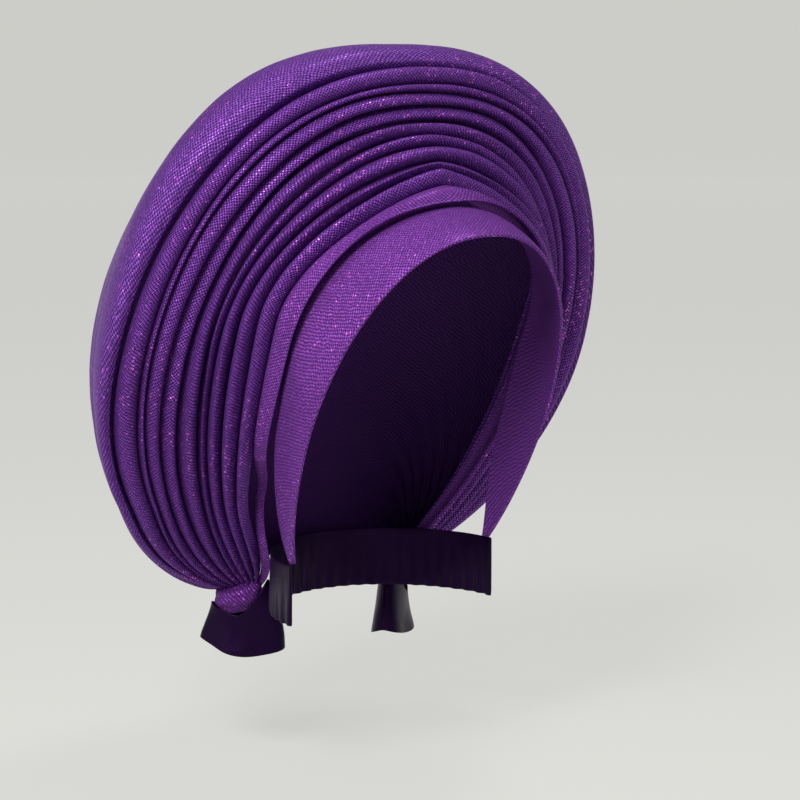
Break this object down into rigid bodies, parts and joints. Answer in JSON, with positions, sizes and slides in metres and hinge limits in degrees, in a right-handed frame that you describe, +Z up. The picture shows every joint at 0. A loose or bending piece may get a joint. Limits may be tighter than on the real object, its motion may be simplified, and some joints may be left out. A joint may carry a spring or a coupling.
{
  "type": "gele head tie",
  "caption": "Pleated shimmer-cloth head tie with a forehead band, fanned folds, a plain wide rim, and a knot with a flared tail behind each ear.",
  "frame": {"origin": "middle of the wearer's head at eye level, where the head tie sits", "axes": "+Z up, -Y the way the wearer faces, -X the wearer's right"},
  "size_m": [0.3144, 0.209, 0.3322],
  "materials": {
    "shimmer_band": "purple shimmer mesh, brightest on the band",
    "shimmer_pleat": "purple shimmer mesh with a soft metallic glint",
    "shimmer_rim": "purple shimmer mesh, plain and smooth",
    "satin": "dark purple satin"
  },
  "bodies": {
    "root": {"forehead_band": "shimmer_band", "second_wrap": "shimmer_band", "pleat_1": "shimmer_pleat", "pleat_2": "shimmer_pleat", "pleat_3": "shimmer_pleat", "pleat_4": "shimmer_pleat", "pleat_5": "shimmer_pleat", "pleat_6": "shimmer_pleat", "pleat_7": "shimmer_pleat", "pleat_8": "shimmer_pleat", "pleat_9": "shimmer_pleat", "rim_and_back": "shimmer_rim", "right_knot": "shimmer_pleat", "left_knot": "shimmer_pleat", "right_tail": "satin", "left_tail": "satin", "nape_tie": "satin"}
  },
  "joints": []
}
